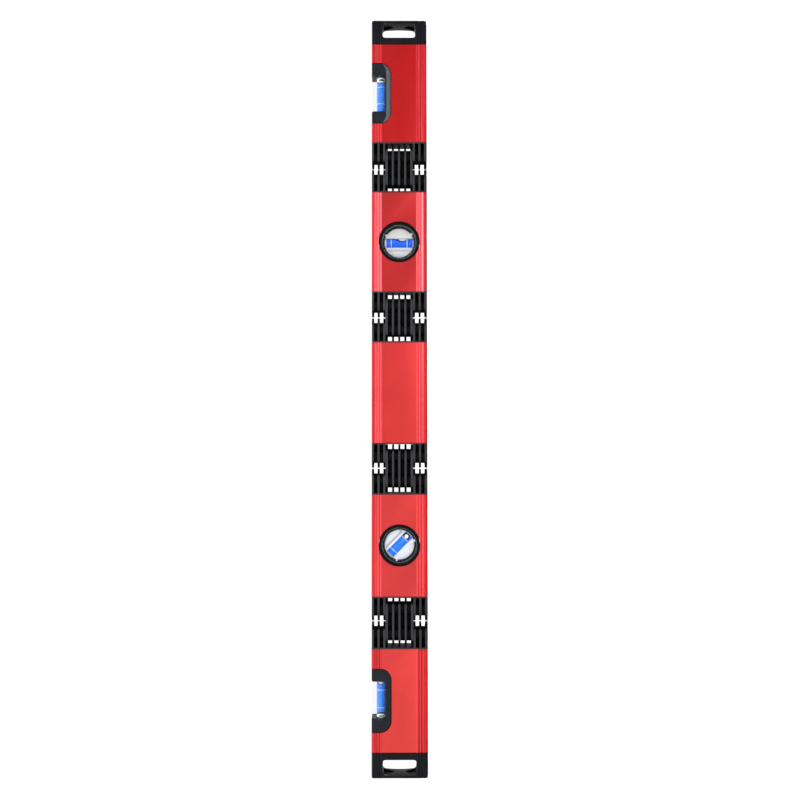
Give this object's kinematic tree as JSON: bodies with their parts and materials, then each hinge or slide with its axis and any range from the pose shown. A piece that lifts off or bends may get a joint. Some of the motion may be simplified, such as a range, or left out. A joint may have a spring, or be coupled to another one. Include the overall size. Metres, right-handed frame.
{
  "type": "spirit level",
  "caption": "Folding box-section spirit level of short red tubes joined by black double-pivot hinges, with level, plumb and 45 degree vials and hang slots.",
  "frame": {"origin": "middle of the measuring edge, half way along the level and half way through its thickness", "axes": "+X along the level towards end_cap_1, +Y through its thickness from the front broad face to the rear one, +Z from the measuring edge up to the edge with the level vial windows"},
  "size_m": [0.7112, 0.0224, 0.052],
  "materials": {
    "red_anodised_aluminium": "satin red anodised extrusion",
    "black_nylon": "moulded black glass-filled nylon",
    "black_oxide_steel": "black oxide steel",
    "black_abs": "moulded black ABS",
    "clear_acrylic": "polished clear acrylic",
    "white_abs": "moulded white ABS",
    "blue_vial_liquid": "clear dyed liquid",
    "vial_plug": "translucent acrylic plug"
  },
  "bodies": {
    "segment_3": {"hinge_bracket_2b": "black_nylon", "hinge_bracket_3a": "black_nylon", "hinge_pin_2b": "black_oxide_steel", "hinge_pin_3a": "black_oxide_steel", "tube_3": "red_anodised_aluminium"},
    "link_2": {"hinge_link_2": "black_nylon"},
    "segment_2": {"hinge_bracket_1b": "black_nylon", "hinge_bracket_2a": "black_nylon", "hinge_pin_1b": "black_oxide_steel", "hinge_pin_2a": "black_oxide_steel", "plumb_vial_barrel": "clear_acrylic", "plumb_vial_bezel_front": "black_abs", "plumb_vial_bezel_rear": "black_abs", "plumb_vial_carrier": "white_abs", "plumb_vial_cover_front": "clear_acrylic", "plumb_vial_cover_rear": "clear_acrylic", "plumb_vial_liquid": "blue_vial_liquid", "plumb_vial_plug": "vial_plug", "tube_2": "red_anodised_aluminium"},
    "link_1": {"hinge_link_1": "black_nylon"},
    "segment_1": {"end_cap_1": "black_abs", "hinge_bracket_1a": "black_nylon", "hinge_pin_1a": "black_oxide_steel", "level_vial_barrel_1": "clear_acrylic", "level_vial_block_1": "clear_acrylic", "level_vial_housing_1": "black_abs", "level_vial_liquid_1": "blue_vial_liquid", "level_vial_plug_1": "vial_plug", "tube_1": "red_anodised_aluminium"},
    "link_3": {"hinge_link_3": "black_nylon"},
    "segment_4": {"angle_vial_barrel": "clear_acrylic", "angle_vial_bezel_front": "black_abs", "angle_vial_bezel_rear": "black_abs", "angle_vial_carrier": "white_abs", "angle_vial_cover_front": "clear_acrylic", "angle_vial_cover_rear": "clear_acrylic", "angle_vial_liquid": "blue_vial_liquid", "angle_vial_plug": "vial_plug", "hinge_bracket_3b": "black_nylon", "hinge_bracket_4a": "black_nylon", "hinge_pin_3b": "black_oxide_steel", "hinge_pin_4a": "black_oxide_steel", "tube_4": "red_anodised_aluminium"},
    "link_4": {"hinge_link_4": "black_nylon"},
    "segment_5": {"end_cap_5": "black_abs", "hinge_bracket_4b": "black_nylon", "hinge_pin_4b": "black_oxide_steel", "level_vial_barrel_5": "clear_acrylic", "level_vial_block_5": "clear_acrylic", "level_vial_housing_5": "black_abs", "level_vial_liquid_5": "blue_vial_liquid", "level_vial_plug_5": "vial_plug", "tube_5": "red_anodised_aluminium"}
  },
  "joints": [
    {"name": "fold_2b", "type": "hinge", "parent": "segment_3", "child": "link_2", "pos_m": [0.05975, 0, 0.026], "axis": [0, 0, 1], "range_deg": [-90, 90]},
    {"name": "fold_2a", "type": "hinge", "parent": "link_2", "child": "segment_2", "pos_m": [0.08275, 0, 0.026], "axis": [0, 0, 1], "range_deg": [-90, 90]},
    {"name": "fold_1b", "type": "hinge", "parent": "segment_2", "child": "link_1", "pos_m": [0.20225, 0, 0.026], "axis": [0, 0, -1], "range_deg": [-90, 90]},
    {"name": "fold_1a", "type": "hinge", "parent": "link_1", "child": "segment_1", "pos_m": [0.22525, 0, 0.026], "axis": [0, 0, -1], "range_deg": [-90, 90]},
    {"name": "fold_3a", "type": "hinge", "parent": "segment_3", "child": "link_3", "pos_m": [-0.05975, 0, 0.026], "axis": [0, 0, 1], "range_deg": [-90, 90]},
    {"name": "fold_3b", "type": "hinge", "parent": "link_3", "child": "segment_4", "pos_m": [-0.08275, 0, 0.026], "axis": [0, 0, 1], "range_deg": [-90, 90]},
    {"name": "fold_4a", "type": "hinge", "parent": "segment_4", "child": "link_4", "pos_m": [-0.20225, 0, 0.026], "axis": [0, 0, -1], "range_deg": [-90, 90]},
    {"name": "fold_4b", "type": "hinge", "parent": "link_4", "child": "segment_5", "pos_m": [-0.22525, 0, 0.026], "axis": [0, 0, -1], "range_deg": [-90, 90]}
  ]
}
